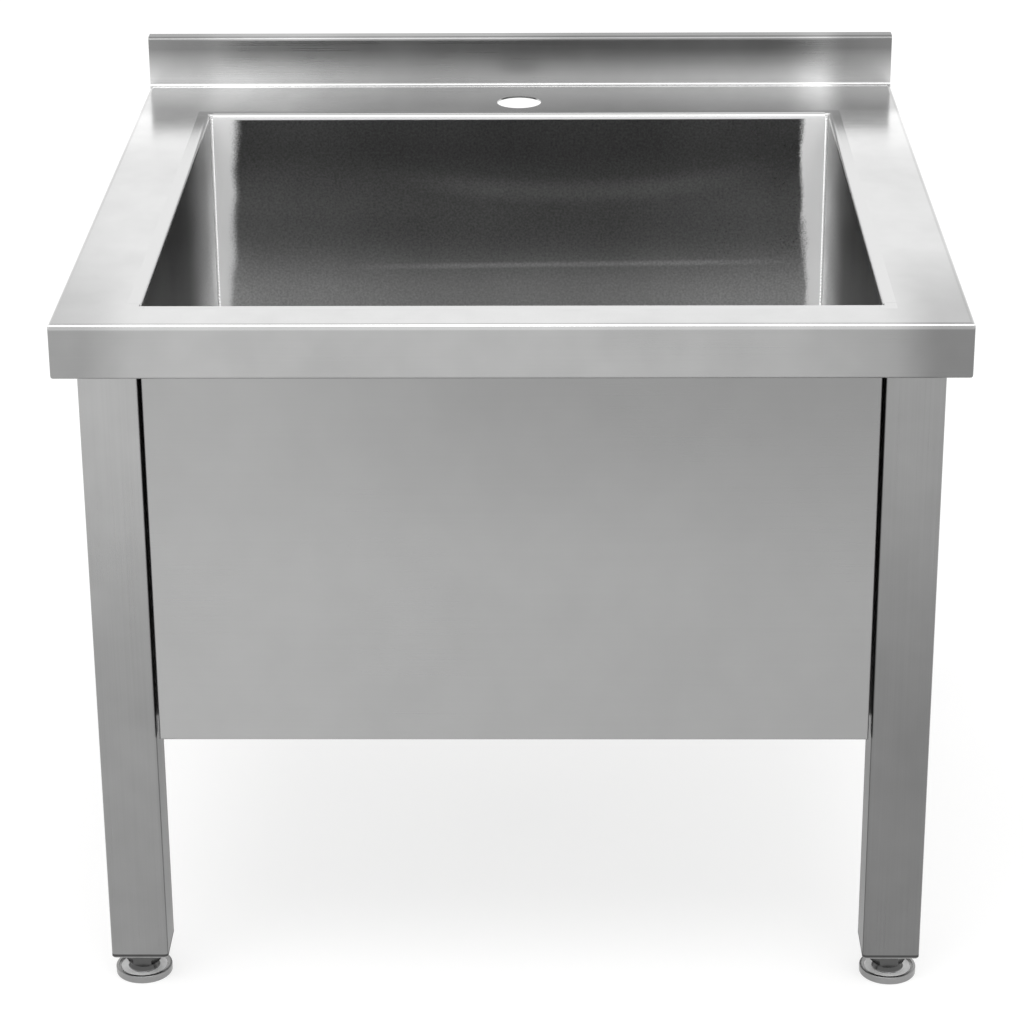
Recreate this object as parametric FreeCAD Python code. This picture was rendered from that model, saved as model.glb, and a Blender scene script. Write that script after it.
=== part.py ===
"""Low utility laundry sink: a folded stainless worktop with a welded bowl, on legs with screw-down feet.

Millimetres. The origin is on the floor under the middle of the sink, +X to the right, +Y to the wall, +Z up.
Each piece is written as its own solid, where it stands with the feet as they are set in use.
"""

import FreeCAD
import Part

import math
import os

Vector = FreeCAD.Vector
UP = Vector(0, 0, 1)
SAME_PLACE = 1e-6

# Whole sink
WIDTH = 600.0
DEPTH = 600.0
DECK_HEIGHT = 500.0

# Worktop sheet and its folds
DECK_SHEET = 1.2
FOLD_INSIDE = 2.0
RIM_HEIGHT = 38.0
LIP_WIDTH = 14.0
CORNER_ROUND = 2.5
UPSTAND_HEIGHT = 40.0
UPSTAND_DEPTH = 15.0
UPSTAND_RETURN = 18.0

# Bowl
FRONT_LEDGE = 40.0
REAR_LEDGE = 87.0
BOWL_DEPTH = 300.0
BOWL_SHEET = 1.2
BOWL_CORNER = 2.0
FLOOR_BEND = 1.5
BOWL_LIP = 3.5
WELD_MARGIN = 6.0
FLOOR_FALL = 7.0
FLOOR_FLAT = 132.0
BOWL_LEG_CLEARANCE = 0.8

# Tap hole
TAP_HOLE_DIAMETER = 35.0
TAP_HOLE_SETBACK = 52.0

# Legs
LEG_SIZE = 40.0
LEG_WALL = 1.5
LEG_ROUND = 3.0
LEG_SETBACK = 15.0
LEG_HEAD_GAP = 1.0

# Aprons
APRON_SHEET = 1.0
APRON_BEND = 2.0
APRON_FLANGE = 15.0
APRON_GAP = 2.0

# Rails
RAIL_SHEET = 1.5
RAIL_BEND = 1.5
RAIL_WIDTH = 20.0
RAIL_HEIGHT = 30.0
RAIL_LEG_INSET = 2.0
REAR_RAIL_DROP = 30.0

# Feet
PAD_DIAMETER = 40.0
PAD_RIM_HEIGHT = 5.5
PAD_RIM_WIDTH = 2.6
PAD_DISH = 1.2
PAD_BOSS_DIAMETER = 20.0
PAD_BOSS_HEIGHT = 8.5
PAD_FLOOR = 3.0
PAD_EDGE = 0.8
NECK_DIAMETER = 10.0
SCREW_DIAMETER = 12.0
SCREW_LENGTH = 46.0
SCREW_CHAMFER = 1.2
HEX_ACROSS_FLATS = 22.0
HEX_HEIGHT = 10.0
HEX_LIFT = 0.4
HEX_TO_PLUG = 2.0
RUNNING_CLEARANCE = 0.05
PLUG_FLANGE = 3.0
PLUG_FLANGE_CHAMFER = 0.8
PLUG_LENGTH = 26.0
PLUG_WALL = 2.0
PLUG_FIT = 0.1
PLUG_BOSS_DIAMETER = 20.0
PLUG_RIB = 2.0

# Drain
DRAIN_HOLE_DIAMETER = 90.0
RECESS_DIAMETER = 118.0
FLANGE_DIAMETER = 112.0
FLANGE_SHEET = 1.0
GASKET_THICKNESS = 1.5
UNDER_GASKET_THICKNESS = 2.0
CUP_CLEARANCE = 3.0
CUP_DEPTH = 40.0
CUP_BEND = 2.5
CUP_OUTLET_HOLES = 8
CUP_OUTLET_HOLE_DIAMETER = 9.0
CUP_OUTLET_PITCH_RADIUS = 16.0
BODY_WALL = 2.5
BODY_CLEARANCE = 1.0
BODY_FLANGE_DIAMETER = 114.0
BODY_FLANGE = 4.0
OUTLET_DIAMETER = 47.8
OUTLET_WALL = 3.5
OUTLET_LENGTH = 26.0
FUNNEL_HEIGHT = 20.0
SPIDER_ARMS = 4
SPIDER_RIB = 3.0
SPIDER_HEIGHT = 18.0
SPIDER_BOSS_DIAMETER = 14.0
CLAMP_SCREW_DIAMETER = 6.0
CLAMP_HEAD_DIAMETER = 13.0
CLAMP_HEAD_HEIGHT = 2.6
CLAMP_SCREW_LENGTH = 15.0

# Basket
BASKET_SHEET = 0.8
BASKET_REST_GAP = 0.3
BASKET_RIM_OVERLAP = 5.0
BASKET_WALL_CLEARANCE = 4.0
BASKET_TAPER = 4.0
BASKET_HOLE_DIAMETER = 5.0
BASKET_FLOOR_HOLES = 20
BASKET_WALL_ROWS = 3
BASKET_WALL_HOLES = 16
BASKET_WALL_ROW_STEP = 9.0
SEAL_DIAMETER = 46.0
SEAL_THICKNESS = 4.0
SEAL_HOLE_CLEARANCE = 3.0
SEAL_GAP = 0.3
HANDLE_DIAMETER = 6.0
HANDLE_KNOB_DIAMETER = 15.0
HANDLE_KNOB_HEIGHT = 6.0
HANDLE_DROP = 3.0

# Worked out from the sizes above
LEFT = -WIDTH / 2
RIGHT = WIDTH / 2
FRONT = -DEPTH / 2
BACK = DEPTH / 2
FOLD_OUTSIDE = FOLD_INSIDE + DECK_SHEET
RIM_BOTTOM = DECK_HEIGHT - RIM_HEIGHT
DECK_UNDERSIDE = DECK_HEIGHT - DECK_SHEET
UPSTAND_TOP = DECK_HEIGHT + UPSTAND_HEIGHT
UPSTAND_FACE = BACK - UPSTAND_DEPTH

LEG_X = RIGHT - LEG_SETBACK - LEG_SIZE / 2
LEG_Y = BACK - LEG_SETBACK - LEG_SIZE / 2
LEG_OUTER_X = LEG_X + LEG_SIZE / 2
LEG_INNER_X = LEG_X - LEG_SIZE / 2
LEG_OUTER_Y = LEG_Y + LEG_SIZE / 2
LEG_INNER_Y = LEG_Y - LEG_SIZE / 2
LEG_TOP = DECK_UNDERSIDE - LEG_HEAD_GAP

BOWL_HALF_WIDTH = LEG_INNER_X - BOWL_LEG_CLEARANCE - BOWL_SHEET
BOWL_FRONT = FRONT + FRONT_LEDGE
BOWL_BACK = UPSTAND_FACE - REAR_LEDGE
BOWL_MID_Y = (BOWL_FRONT + BOWL_BACK) / 2
BOWL_HALF_LENGTH = (BOWL_BACK - BOWL_FRONT) / 2
FLOOR_EDGE = DECK_HEIGHT - BOWL_DEPTH
FLOOR_LOW = FLOOR_EDGE - FLOOR_FALL
FLANGE_BOTTOM = FLOOR_LOW - FLANGE_SHEET
RECESS_FLOOR = FLANGE_BOTTOM - GASKET_THICKNESS
BOWL_UNDERSIDE = RECESS_FLOOR - BOWL_SHEET

HEX_BOTTOM = PAD_BOSS_HEIGHT + HEX_LIFT
HEX_TOP = HEX_BOTTOM + HEX_HEIGHT
PLUG_BOTTOM = HEX_TOP + HEX_TO_PLUG
LEG_BOTTOM = PLUG_BOTTOM + PLUG_FLANGE

CUP_RADIUS = DRAIN_HOLE_DIAMETER / 2 - CUP_CLEARANCE
CUP_INSIDE = CUP_RADIUS - FLANGE_SHEET
CUP_BOTTOM = FLOOR_LOW - CUP_DEPTH
CUP_FLOOR = CUP_BOTTOM + FLANGE_SHEET
BODY_TOP = BOWL_UNDERSIDE - UNDER_GASKET_THICKNESS
BODY_INSIDE = CUP_RADIUS + BODY_CLEARANCE
BODY_OUTSIDE = BODY_INSIDE + BODY_WALL
SPIDER_BOTTOM = CUP_BOTTOM - SPIDER_HEIGHT
FUNNEL_BOTTOM = SPIDER_BOTTOM - FUNNEL_HEIGHT
OUTLET_BOTTOM = FUNNEL_BOTTOM - OUTLET_LENGTH
OUTLET_RADIUS = OUTLET_DIAMETER / 2
OUTLET_INSIDE = OUTLET_RADIUS - OUTLET_WALL

SEAL_BOTTOM = CUP_FLOOR + SEAL_GAP
BASKET_BOTTOM = SEAL_BOTTOM + SEAL_THICKNESS
BASKET_FLOOR = BASKET_BOTTOM + BASKET_SHEET
BASKET_RIM_BOTTOM = FLOOR_LOW + BASKET_REST_GAP
BASKET_RIM_TOP = BASKET_RIM_BOTTOM + BASKET_SHEET
BASKET_TOP_RADIUS = CUP_INSIDE - BASKET_WALL_CLEARANCE
BASKET_LOW_RADIUS = BASKET_TOP_RADIUS - BASKET_TAPER
BASKET_RIM_RADIUS = CUP_INSIDE + BASKET_RIM_OVERLAP
BASKET_FLOOR_RING = (SEAL_DIAMETER / 2 + BASKET_LOW_RADIUS - BASKET_SHEET) / 2


def box(x0, x1, y0, y1, z0, z1):
    """A block between two corners."""
    return Part.makeBox(x1 - x0, y1 - y0, z1 - z0, Vector(x0, y0, z0))


def cylinder(radius, z0, z1, x=0.0, y=0.0):
    """An upright cylinder from z0 to z1."""
    return Part.makeCylinder(radius, z1 - z0, Vector(x, y, z0), UP)


def rounded_outline(points, radii):
    """A closed wire through points, each corner turned by an arc of its own radius, or left sharp at 0."""
    corners = []
    for i, point in enumerate(points):
        to_last = (points[i - 1] - point).normalize()
        to_next = (points[(i + 1) % len(points)] - point).normalize()
        if radii[i] <= 0:
            corners.append((point, None, point))
            continue
        half = to_last.getAngle(to_next) / 2
        reach = radii[i] / math.tan(half)
        inward = (to_last + to_next).normalize()
        middle = point + inward * (radii[i] / math.sin(half) - radii[i])
        corners.append((point + to_last * reach, middle, point + to_next * reach))
    edges = []
    for i, (start, middle, end) in enumerate(corners):
        if middle is not None:
            edges.append(Part.Arc(start, middle, end).toShape())
        following = corners[(i + 1) % len(corners)][0]
        if end.distanceToPoint(following) > SAME_PLACE:
            edges.append(Part.LineSegment(end, following).toShape())
    return Part.Wire(edges)


def prism(outline, along):
    """The solid that an outline makes when it is drawn out along a vector."""
    return Part.Face(outline).extrude(along)


def turned(profile, x=0.0, y=0.0):
    """The solid that a half section, given as (radius, height) points, makes round an upright axis."""
    points = [Vector(x + r, y, z) for r, z in profile]
    wire = Part.makePolygon(points + points[:1])
    return Part.Face(wire).revolve(Vector(x, y, 0), UP, 360)


def one_solid(shape):
    """The single clean solid of a finished piece."""
    solids = shape.removeSplitter().Solids
    if len(solids) != 1:
        raise ValueError(f"a piece came out as {len(solids)} solids")
    return solids[0]


def worktop_form(inset):
    """The block inside the worktop's sheet, with every face moved in by inset: 0 gives its outer skin."""
    side = RIGHT - inset
    front = FRONT + inset
    back = BACK - inset
    face = UPSTAND_FACE + inset
    bottom = RIM_BOTTOM + inset
    top = DECK_HEIGHT - inset
    upper = UPSTAND_TOP - inset
    outside = FOLD_OUTSIDE - inset
    inside = FOLD_INSIDE + inset
    long_outline = rounded_outline(
        [
            Vector(-side, front, bottom),
            Vector(-side, front, top),
            Vector(-side, face, top),
            Vector(-side, face, upper),
            Vector(-side, back, upper),
            Vector(-side, back, bottom),
        ],
        [outside, outside, inside, outside, outside, 0],
    )
    cross_outline = rounded_outline(
        [
            Vector(-side, front, bottom),
            Vector(side, front, bottom),
            Vector(side, front, top),
            Vector(-side, front, top),
        ],
        [outside] * 4,
    )
    plan_outline = rounded_outline(
        [
            Vector(-side, front, bottom),
            Vector(side, front, bottom),
            Vector(side, back, bottom),
            Vector(-side, back, bottom),
        ],
        [CORNER_ROUND - inset, CORNER_ROUND - inset, 0, 0],
    )
    long_form = prism(long_outline, Vector(2 * side, 0, 0))
    cross_form = prism(cross_outline, Vector(0, back - front, 0))
    upstand = box(-side, side, face - inside, back, top - outside, upper)
    plan_form = prism(plan_outline, Vector(0, 0, upper - bottom))
    return long_form.common(cross_form.fuse(upstand)).common(plan_form)


def worktop():
    """Deck, rim, return lips and upstand as one folded sheet, with its corners welded and ground."""
    sheet = worktop_form(0).cut(worktop_form(DECK_SHEET))
    past = DECK_SHEET
    lip_window = box(
        LEFT + LIP_WIDTH,
        RIGHT - LIP_WIDTH,
        FRONT + LIP_WIDTH,
        BACK + past,
        RIM_BOTTOM - past,
        RIM_BOTTOM + 2 * DECK_SHEET,
    )
    open_back = box(
        LEFT + DECK_SHEET,
        RIGHT - DECK_SHEET,
        BACK - 2 * DECK_SHEET,
        BACK + past,
        RIM_BOTTOM + DECK_SHEET,
        UPSTAND_TOP - UPSTAND_RETURN,
    )
    reach_x = BOWL_HALF_WIDTH + BOWL_LIP + WELD_MARGIN
    reach_y = BOWL_HALF_LENGTH + BOWL_LIP + WELD_MARGIN
    cut_out = box(
        -reach_x,
        reach_x,
        BOWL_MID_Y - reach_y,
        BOWL_MID_Y + reach_y,
        DECK_UNDERSIDE - past,
        DECK_HEIGHT + past,
    )
    tap_y = UPSTAND_FACE - TAP_HOLE_SETBACK
    tap_hole = cylinder(TAP_HOLE_DIAMETER / 2, DECK_UNDERSIDE - past, DECK_HEIGHT + past, 0, tap_y)
    return one_solid(sheet.cut(lip_window).cut(open_back).cut(cut_out).cut(tap_hole))


def lip_outline(half, sheet, along_x):
    """Section of the bowl across X or along Y: straight walls, and a lip rolled out to the deck at the top.

    A sheet of 0 gives the bowl's inside, and the sheet's thickness its outside with the weld margin.
    """
    start = DECK_HEIGHT - BOWL_LIP
    flat = DECK_HEIGHT - sheet
    radius = BOWL_LIP - sheet
    wall = half + sheet
    edge = half + BOWL_LIP
    turn = radius * math.sqrt(0.5)
    bend = (edge - turn, start + turn)
    margin = edge + (WELD_MARGIN if sheet > 0 else 0)

    def place(across, height):
        if along_x:
            return Vector(across, BOWL_MID_Y, height)
        return Vector(0, BOWL_MID_Y + across, height)

    def arc(sign):
        ends = [place(sign * wall, start), place(sign * bend[0], bend[1]), place(sign * edge, flat)]
        return Part.Arc(*ends).toShape()

    base = DECK_HEIGHT - 3 * BOWL_LIP
    over = [place(edge, flat), place(margin, flat), place(margin, DECK_HEIGHT)]
    over += [place(-margin, DECK_HEIGHT), place(-margin, flat), place(-edge, flat)]
    under = [place(-wall, start), place(-wall, base), place(wall, base), place(wall, start)]
    edges = [arc(1)]
    apart = [(a, b) for a, b in zip(over, over[1:]) if a.distanceToPoint(b) > SAME_PLACE]
    edges += [Part.LineSegment(a, b).toShape() for a, b in apart]
    edges += [arc(-1)]
    edges += [Part.LineSegment(a, b).toShape() for a, b in zip(under, under[1:])]
    return Part.Wire(edges)


def is_upright_edge(edge):
    """Whether an edge stands upright."""
    room = edge.BoundBox
    return room.XLength < SAME_PLACE and room.YLength < SAME_PLACE and room.ZLength > SAME_PLACE


def is_level_edge(edge, height):
    """Whether an edge lies level at a height."""
    room = edge.BoundBox
    return abs(room.ZMin - height) < SAME_PLACE and abs(room.ZMax - height) < SAME_PLACE


def bowl_section(sheet, z, half_x=BOWL_HALF_WIDTH, half_y=BOWL_HALF_LENGTH):
    """A level outline of the bowl with its welded corners, inside at a sheet of 0 and else outside."""
    a = half_x + sheet
    b = half_y + sheet
    corners = [(-a, -b), (a, -b), (a, b), (-a, b)]
    points = [Vector(x, BOWL_MID_Y + y, z) for x, y in corners]
    return rounded_outline(points, [BOWL_CORNER + sheet] * 4)


def lower_form(sheet):
    """The foot of the walls, and the floor that falls from the bend at its edge to a flat round the drain."""
    edge = FLOOR_EDGE - sheet
    low = FLOOR_LOW - sheet
    foot = prism(bowl_section(sheet, edge), Vector(0, 0, DECK_HEIGHT - 2 * BOWL_LIP - edge))
    rings = [bowl_section(sheet, edge), bowl_section(sheet, low, FLOOR_FLAT / 2, FLOOR_FLAT / 2)]
    form = foot.fuse(Part.makeLoft(rings, True, True)).removeSplitter().Solids[0]
    bend = [e for e in form.Edges if is_level_edge(e, edge)]
    recess = cylinder(RECESS_DIAMETER / 2 + sheet, RECESS_FLOOR - sheet, low + BOWL_SHEET, 0, BOWL_MID_Y)
    return form.makeFillet(FLOOR_BEND + sheet, bend).fuse(recess)


def lip_form(sheet):
    """The top of the walls with the lip rolled out to the deck, mitred at its corners."""
    wide = 2 * (BOWL_HALF_WIDTH + BOWL_LIP + WELD_MARGIN + sheet)
    long = 2 * (BOWL_HALF_LENGTH + BOWL_LIP + WELD_MARGIN + sheet)
    across = Part.Face(lip_outline(BOWL_HALF_WIDTH, sheet, True))
    along = Part.Face(lip_outline(BOWL_HALF_LENGTH, sheet, False))
    across.translate(Vector(0, -long / 2, 0))
    along.translate(Vector(-wide / 2, 0, 0))
    form = across.extrude(Vector(0, long, 0)).common(along.extrude(Vector(wide, 0, 0))).Solids[0]
    if sheet > 0:
        return form
    return form.makeFillet(BOWL_CORNER, [e for e in form.Edges if is_upright_edge(e)])


def bowl():
    """Folded walls and a floor that falls to a pressed recess for the drain, welded in at the margin."""
    outside = lower_form(BOWL_SHEET).fuse(lip_form(BOWL_SHEET))
    inside = lower_form(0).fuse(lip_form(0))
    shell = outside.cut(inside)
    hole = cylinder(
        DRAIN_HOLE_DIAMETER / 2,
        BOWL_UNDERSIDE - BOWL_SHEET,
        RECESS_FLOOR + BOWL_SHEET,
        0,
        BOWL_MID_Y,
    )
    return one_solid(shell.cut(hole))


def apron(length):
    """A folded pan, open at its back, along X with its face on Y = 0 and the middle of its foot on X = 0."""
    height = DECK_UNDERSIDE - FLOOR_LOW

    def form(inset):
        half = length / 2 - inset
        radius = APRON_BEND - inset
        plan = rounded_outline(
            [
                Vector(-half, inset, inset),
                Vector(half, inset, inset),
                Vector(half, APRON_FLANGE, inset),
                Vector(-half, APRON_FLANGE, inset),
            ],
            [radius, radius, 0, 0],
        )
        section = rounded_outline(
            [
                Vector(-half, inset, inset),
                Vector(-half, inset, height - inset),
                Vector(-half, APRON_FLANGE, height - inset),
                Vector(-half, APRON_FLANGE, inset),
            ],
            [radius, radius, 0, 0],
        )
        return prism(plan, Vector(0, 0, height - 2 * inset)).common(prism(section, Vector(2 * half, 0, 0)))

    pan = one_solid(form(0).cut(form(APRON_SHEET)))
    pan.translate(Vector(0, 0, FLOOR_LOW))
    return pan


def front_apron():
    """The pan between the front legs, flush with their faces."""
    pan = apron(2 * (LEG_INNER_X - APRON_GAP))
    pan.translate(Vector(0, -LEG_OUTER_Y, 0))
    return pan


def side_apron(side):
    """The pan between the legs of one side, flush with their faces: -1 is the left side and 1 the right."""
    pan = apron(2 * (LEG_INNER_Y - APRON_GAP))
    pan.rotate(Vector(0, 0, 0), UP, 90 * side)
    pan.translate(Vector(side * LEG_OUTER_X, 0, 0))
    return pan


def leg(x, y):
    """Square tube with rounded corners."""

    def square(half, radius):
        corners = [(-half, -half), (half, -half), (half, half), (-half, half)]
        points = [Vector(x + a, y + b, LEG_BOTTOM) for a, b in corners]
        return prism(rounded_outline(points, [radius] * 4), Vector(0, 0, LEG_TOP - LEG_BOTTOM))

    tube = square(LEG_SIZE / 2, LEG_ROUND)
    return one_solid(tube.cut(square(LEG_SIZE / 2 - LEG_WALL, LEG_ROUND - LEG_WALL)))


def leg_plug(x, y):
    """Moulded plug: a flange under the tube, a thin square cup in it, and a ribbed boss for the screw."""
    outside = LEG_SIZE / 2
    inside = LEG_SIZE / 2 - LEG_WALL - PLUG_FIT
    hollow = inside - PLUG_WALL
    top = LEG_BOTTOM + PLUG_LENGTH

    def square(half, radius, z0, z1):
        corners = [(-half, -half), (half, -half), (half, half), (-half, half)]
        points = [Vector(x + a, y + b, z0) for a, b in corners]
        return prism(rounded_outline(points, [radius] * 4), Vector(0, 0, z1 - z0))

    flange = square(outside, LEG_ROUND, PLUG_BOTTOM, LEG_BOTTOM)
    lower_edges = [e for e in flange.Edges if is_level_edge(e, PLUG_BOTTOM)]
    flange = flange.makeChamfer(PLUG_FLANGE_CHAMFER, lower_edges)
    body_round = LEG_ROUND - LEG_WALL
    body = square(inside, body_round, LEG_BOTTOM, top).cut(square(hollow, body_round, LEG_BOTTOM, top))
    plug = flange.fuse(body).fuse(cylinder(PLUG_BOSS_DIAMETER / 2, LEG_BOTTOM, top, x, y))
    rib = PLUG_RIB / 2
    reach = inside - PLUG_WALL / 2
    plug = plug.fuse(box(x - reach, x + reach, y - rib, y + rib, LEG_BOTTOM, top))
    plug = plug.fuse(box(x - rib, x + rib, y - reach, y + reach, LEG_BOTTOM, top))
    bore = cylinder(SCREW_DIAMETER / 2 + RUNNING_CLEARANCE, PLUG_BOTTOM, top, x, y)
    return one_solid(plug.cut(bore))


def foot_stem(x, y):
    """Screw with an adjusting hexagon, and a plain neck that turns in the pad."""
    radius = SCREW_DIAMETER / 2
    top = HEX_TOP + SCREW_LENGTH
    neck = NECK_DIAMETER / 2
    neck_bottom = PAD_FLOOR + RUNNING_CLEARANCE
    shank = turned(
        [
            (0, neck_bottom),
            (neck, neck_bottom),
            (neck, HEX_BOTTOM),
            (radius, HEX_TOP),
            (radius, top - SCREW_CHAMFER),
            (radius - SCREW_CHAMFER, top),
            (0, top),
        ],
        x,
        y,
    )
    half_flat = HEX_ACROSS_FLATS / 2
    corner = half_flat / math.cos(math.pi / 6)
    angles = [math.pi / 3 * i for i in range(6)]
    points = [Vector(x + corner * math.cos(a), y + corner * math.sin(a), HEX_BOTTOM) for a in angles]
    hexagon = prism(Part.makePolygon(points + points[:1]), Vector(0, 0, HEX_HEIGHT))
    drop = (corner - half_flat) * math.tan(math.pi / 6)
    barrel = turned(
        [
            (0, HEX_BOTTOM),
            (half_flat, HEX_BOTTOM),
            (corner, HEX_BOTTOM + drop),
            (corner, HEX_TOP - drop),
            (half_flat, HEX_TOP),
            (0, HEX_TOP),
        ],
        x,
        y,
    )
    return one_solid(shank.fuse(hexagon.common(barrel)))


def foot_pad(x, y):
    """Round dished pad with a raised rim, and a boss with the socket that the stem turns in."""
    radius = PAD_DIAMETER / 2
    socket = NECK_DIAMETER / 2 + RUNNING_CLEARANCE
    boss = PAD_BOSS_DIAMETER / 2
    dish = PAD_RIM_HEIGHT - PAD_DISH
    rim_inside = radius - PAD_RIM_WIDTH
    return one_solid(
        turned(
            [
                (0, 0),
                (radius - PAD_EDGE, 0),
                (radius, PAD_EDGE),
                (radius, PAD_RIM_HEIGHT - PAD_EDGE),
                (radius - PAD_EDGE, PAD_RIM_HEIGHT),
                (rim_inside, PAD_RIM_HEIGHT),
                (rim_inside - PAD_DISH, dish),
                (boss + PAD_DISH, dish),
                (boss - PAD_DISH, PAD_BOSS_HEIGHT),
                (socket, PAD_BOSS_HEIGHT),
                (socket, PAD_FLOOR),
                (0, PAD_FLOOR),
            ],
            x,
            y,
        )
    )


def channel(length):
    """A folded channel, open downwards, along X with its web's top on Z = 0."""

    def form(inset, drop):
        half = RAIL_WIDTH / 2 - inset
        radius = RAIL_BEND + RAIL_SHEET - inset
        section = rounded_outline(
            [
                Vector(-length / 2, -half, -RAIL_HEIGHT - drop),
                Vector(-length / 2, -half, -inset),
                Vector(-length / 2, half, -inset),
                Vector(-length / 2, half, -RAIL_HEIGHT - drop),
            ],
            [0, radius, radius, 0],
        )
        return prism(section, Vector(length, 0, 0))

    return one_solid(form(0, 0).cut(form(RAIL_SHEET, RAIL_SHEET)))


def side_rail(side):
    """The channel under one side of the deck, from front leg to rear leg."""
    rail = channel(2 * LEG_INNER_Y)
    rail.rotate(Vector(0, 0, 0), UP, 90)
    rail.translate(Vector(side * (LEG_INNER_X + RAIL_LEG_INSET + RAIL_WIDTH / 2), 0, DECK_UNDERSIDE))
    return rail


def rear_rail():
    """The channel from rear leg to rear leg, low enough to leave room for the tap's nut under the deck."""
    rail = channel(2 * LEG_INNER_X)
    rail.translate(Vector(0, LEG_OUTER_Y - RAIL_LEG_INSET - RAIL_WIDTH / 2, DECK_UNDERSIDE - REAR_RAIL_DROP))
    return rail


def ring_of(radius, count, x, y, start=0.0):
    """Evenly spaced places on a circle."""
    angles = [start + 2 * math.pi / count * i for i in range(count)]
    return [(x + radius * math.cos(a), y + radius * math.sin(a)) for a in angles]


def drain_flange():
    """Pressed flange that lies flush in the floor, with the cup that holds the basket."""
    outer = FLANGE_DIAMETER / 2
    cup = turned(
        [
            (0, CUP_BOTTOM),
            (CUP_RADIUS, CUP_BOTTOM),
            (CUP_RADIUS, FLANGE_BOTTOM),
            (outer, FLANGE_BOTTOM),
            (outer, FLOOR_LOW),
            (CUP_INSIDE + CUP_BEND, FLOOR_LOW),
            (CUP_INSIDE, FLOOR_LOW - CUP_BEND),
            (CUP_INSIDE, CUP_FLOOR),
            (0, CUP_FLOOR),
        ],
        0,
        BOWL_MID_Y,
    )
    low = CUP_BOTTOM - FLANGE_SHEET
    high = CUP_FLOOR + FLANGE_SHEET
    outlet = CUP_OUTLET_HOLE_DIAMETER / 2
    places = ring_of(CUP_OUTLET_PITCH_RADIUS, CUP_OUTLET_HOLES, 0, BOWL_MID_Y, math.pi / CUP_OUTLET_HOLES)
    cuts = [cylinder(outlet, low, high, x, y) for x, y in places]
    cuts.append(cylinder(CLAMP_SCREW_DIAMETER / 2 + RUNNING_CLEARANCE, low, high, 0, BOWL_MID_Y))
    return one_solid(cup.cut(cuts))


def ring(inside, outside, z0, z1):
    """A flat ring round the drain."""
    return one_solid(cylinder(outside, z0, z1, 0, BOWL_MID_Y).cut(cylinder(inside, z0, z1, 0, BOWL_MID_Y)))


def drain_body():
    """Moulded body clamped under the bowl: flange, cup round the pressed one, spider, funnel and outlet."""
    y = BOWL_MID_Y
    flange = BODY_FLANGE_DIAMETER / 2
    shell = turned(
        [
            (BODY_INSIDE, BODY_TOP),
            (flange, BODY_TOP),
            (flange, BODY_TOP - BODY_FLANGE),
            (BODY_OUTSIDE, BODY_TOP - BODY_FLANGE),
            (BODY_OUTSIDE, SPIDER_BOTTOM),
            (OUTLET_RADIUS, FUNNEL_BOTTOM),
            (OUTLET_RADIUS, OUTLET_BOTTOM),
            (OUTLET_INSIDE, OUTLET_BOTTOM),
            (OUTLET_INSIDE, FUNNEL_BOTTOM),
            (BODY_INSIDE, SPIDER_BOTTOM),
        ],
        0,
        y,
    )
    rib = SPIDER_RIB / 2
    reach = (BODY_INSIDE + BODY_OUTSIDE) / 2
    for i in range(SPIDER_ARMS):
        arm = box(0, reach, y - rib, y + rib, SPIDER_BOTTOM, CUP_BOTTOM)
        arm.rotate(Vector(0, y, 0), UP, 360 / SPIDER_ARMS * i)
        shell = shell.fuse(arm)
    shell = shell.fuse(cylinder(SPIDER_BOSS_DIAMETER / 2, SPIDER_BOTTOM, CUP_BOTTOM, 0, y))
    bore = cylinder(CLAMP_SCREW_DIAMETER / 2 + RUNNING_CLEARANCE, SPIDER_BOTTOM, CUP_BOTTOM, 0, y)
    return one_solid(shell.cut(bore))


def clamp_screw():
    """The screw through the cup's floor that draws the body up."""
    head = CLAMP_HEAD_DIAMETER / 2
    radius = CLAMP_SCREW_DIAMETER / 2
    top = CUP_FLOOR + CLAMP_HEAD_HEIGHT
    end = CUP_BOTTOM - CLAMP_SCREW_LENGTH
    dome = CLAMP_HEAD_HEIGHT / 3
    return one_solid(
        turned(
            [
                (0, end),
                (radius, end),
                (radius, CUP_FLOOR),
                (head, CUP_FLOOR),
                (head, top - dome),
                (head - dome, top),
                (0, top),
            ],
            0,
            BOWL_MID_Y,
        )
    )


def basket_shell():
    """The basket before it is pierced: a rim, a tapered wall and a flat floor in thin sheet."""
    low = BASKET_LOW_RADIUS
    top = BASKET_TOP_RADIUS
    return turned(
        [
            (0, BASKET_BOTTOM),
            (low, BASKET_BOTTOM),
            (top, BASKET_RIM_BOTTOM),
            (BASKET_RIM_RADIUS, BASKET_RIM_BOTTOM),
            (BASKET_RIM_RADIUS, BASKET_RIM_TOP),
            (top - BASKET_SHEET, BASKET_RIM_TOP),
            (low - BASKET_SHEET, BASKET_FLOOR),
            (0, BASKET_FLOOR),
        ],
        0,
        BOWL_MID_Y,
    )


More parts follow.
